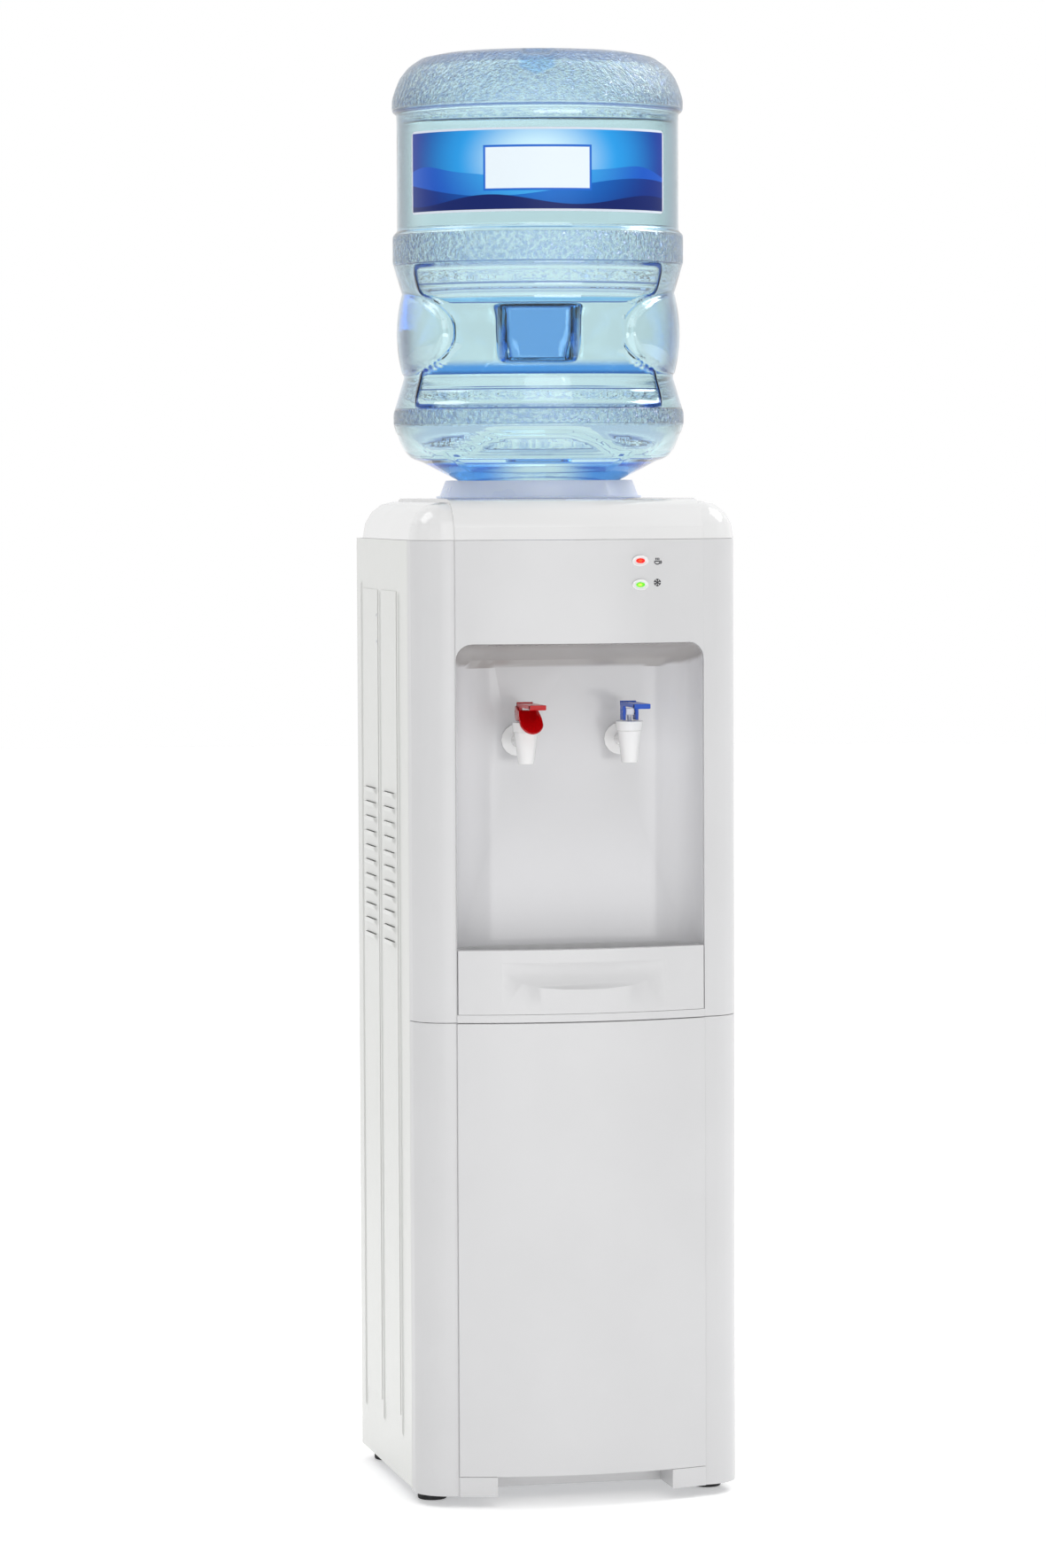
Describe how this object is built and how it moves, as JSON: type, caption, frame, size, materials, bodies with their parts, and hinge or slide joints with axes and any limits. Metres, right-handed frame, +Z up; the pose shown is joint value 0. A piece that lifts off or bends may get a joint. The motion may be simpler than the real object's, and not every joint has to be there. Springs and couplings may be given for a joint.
{
  "type": "water dispenser",
  "caption": "Free-standing bottled water dispenser with hot and cold push taps, dispensing niche, lift-out drip tray and upturned bottle",
  "frame": {"origin": "centre of the box around the whole part, on the floor", "axes": "+Z up, -Y to the front, +X to the viewer's right; the bottle's axis stands 27.25 mm behind the origin"},
  "size_m": [0.3164, 0.3614, 1.354],
  "materials": {
    "white_plastic": "satin moulded",
    "gloss_white": "glossy moulded",
    "painted_steel": "satin powder coat",
    "grille_white": "satin moulded",
    "pale_blue_plastic": "semi-gloss, slightly translucent",
    "bottle_plastic": "clear blown polycarbonate",
    "cap_blue": "moulded",
    "label_film": "printed film",
    "black_rubber": "moulded",
    "zinc_sheet": "zinc plated",
    "stainless": "drawn",
    "heater_steel": "ground",
    "foam": "moulded foam",
    "tank_white": "moulded",
    "copper": "drawn tube",
    "black_enamel": "gloss enamel",
    "hose_silicone": "extruded",
    "bakelite": "moulded",
    "tap_white": "moulded",
    "hot_red": "moulded",
    "guard_red": "translucent moulded",
    "cold_blue": "moulded",
    "lamp_red": "clear tinted",
    "lamp_green": "clear tinted",
    "black_plastic": "moulded",
    "rocker_red": "moulded",
    "rocker_green": "moulded"
  },
  "bodies": {
    "cabinet": {"baffle_with_feed_pipe": "tank_white", "base_plate": "zinc_sheet", "bottle_collar": "pale_blue_plastic", "cold_tank": "stainless", "cold_tank_jacket": "foam", "cold_tank_lid": "tank_white", "cold_tap_hose": "hose_silicone", "compressor": "black_enamel", "compressor_grommet_front_left": "black_rubber", "compressor_grommet_front_right": "black_rubber", "compressor_grommet_rear_left": "black_rubber", "compressor_grommet_rear_right": "black_rubber", "condenser": "black_enamel", "condenser_bracket_left": "zinc_sheet", "condenser_bracket_right": "zinc_sheet", "drain_plug": "black_plastic", "evaporator_coil": "copper", "feed_probe": "pale_blue_plastic", "filter_drier": "copper", "foot_front_left": "black_rubber", "foot_front_right": "black_rubber", "foot_rear_left": "black_rubber", "foot_rear_right": "black_rubber", "heater_band": "heater_steel", "hot_tank": "stainless", "hot_tank_jacket": "foam", "hot_tap_hose": "hose_silicone", "hot_thermostat": "bakelite", "indicator_lamp_cold": "lamp_green", "indicator_lamp_hot": "lamp_red", "lower_front_insert": "white_plastic", "lower_front_panel": "white_plastic", "niche_liner": "white_plastic", "power_inlet": "black_plastic", "rear_panel": "painted_steel", "side_panel_left": "painted_steel", "side_panel_right": "painted_steel", "suction_line": "copper", "switch_housing": "black_plastic", "tank_shelf": "zinc_sheet", "tap_body_cold": "tap_white", "tap_body_hot": "tap_white", "tap_bonnet_cold": "tap_white", "tap_bonnet_hot": "tap_white", "tap_nut_cold": "tap_white", "tap_nut_hot": "tap_white", "top_cover": "gloss_white", "upper_front_panel": "white_plastic"},
    "bottle": {"bottle": "bottle_plastic", "bottle_cap": "cap_blue", "bottle_label": "label_film"},
    "hot_stem": {"tap_stem_hot": "tap_white"},
    "hot_lever": {"tap_lever_hot": "hot_red"},
    "hot_guard": {"hot_lever_guard": "guard_red"},
    "cold_stem": {"tap_stem_cold": "tap_white"},
    "cold_lever": {"tap_lever_cold": "cold_blue"},
    "tray": {"drip_tray": "white_plastic"},
    "grille": {"drip_grille": "grille_white"},
    "heater_rocker": {"heater_switch": "rocker_red"},
    "cooler_rocker": {"cooler_switch": "rocker_green"}
  },
  "joints": [
    {"name": "bottle_lift", "type": "slide", "parent": "cabinet", "child": "bottle", "axis": [0, 0, 1], "range_m": [0, 0.25]},
    {"name": "hot_stem_lift", "type": "slide", "parent": "cabinet", "child": "hot_stem", "axis": [0, 0, 1], "range_m": [0, 0.00173]},
    {"name": "hot_lever_press", "type": "hinge", "parent": "hot_stem", "child": "hot_lever", "pos_m": [-0.0492, -0.12975, 0.736], "axis": [1, 0, 0], "range_deg": [0, 18], "stiffness_Nm_per_rad": 0.2, "springref_deg": -11.46},
    {"name": "hot_guard_swing", "type": "hinge", "parent": "hot_lever", "child": "hot_guard", "pos_m": [-0.0492, -0.12975, 0.736], "axis": [1, 0, 0], "range_deg": [-12, 0], "stiffness_Nm_per_rad": 0.05, "springref_deg": 11.46},
    {"name": "cold_stem_lift", "type": "slide", "parent": "cabinet", "child": "cold_stem", "axis": [0, 0, 1], "range_m": [0, 0.00173]},
    {"name": "cold_lever_press", "type": "hinge", "parent": "cold_stem", "child": "cold_lever", "pos_m": [0.0492, -0.12975, 0.736], "axis": [1, 0, 0], "range_deg": [0, 18], "stiffness_Nm_per_rad": 0.2, "springref_deg": -11.46},
    {"name": "drip_tray_pull", "type": "slide", "parent": "cabinet", "child": "tray", "axis": [0, -1, 0], "range_m": [0, 0.09]},
    {"name": "grille_lift", "type": "slide", "parent": "tray", "child": "grille", "axis": [0, 0, 1], "range_m": [0, 0.05]},
    {"name": "heater_rocker_tip", "type": "hinge", "parent": "cabinet", "child": "heater_rocker", "pos_m": [-0.011, 0.14315, 0.79], "axis": [1, 0, 0], "range_deg": [0, 12]},
    {"name": "cooler_rocker_tip", "type": "hinge", "parent": "cabinet", "child": "cooler_rocker", "pos_m": [0.011, 0.14315, 0.79], "axis": [1, 0, 0], "range_deg": [0, 12]}
  ],
  "couplings": [
    {"joint": "hot_lever_press", "follows": "hot_stem_lift", "rad_per_m": 181.8},
    {"joint": "cold_lever_press", "follows": "cold_stem_lift", "rad_per_m": 181.8}
  ]
}
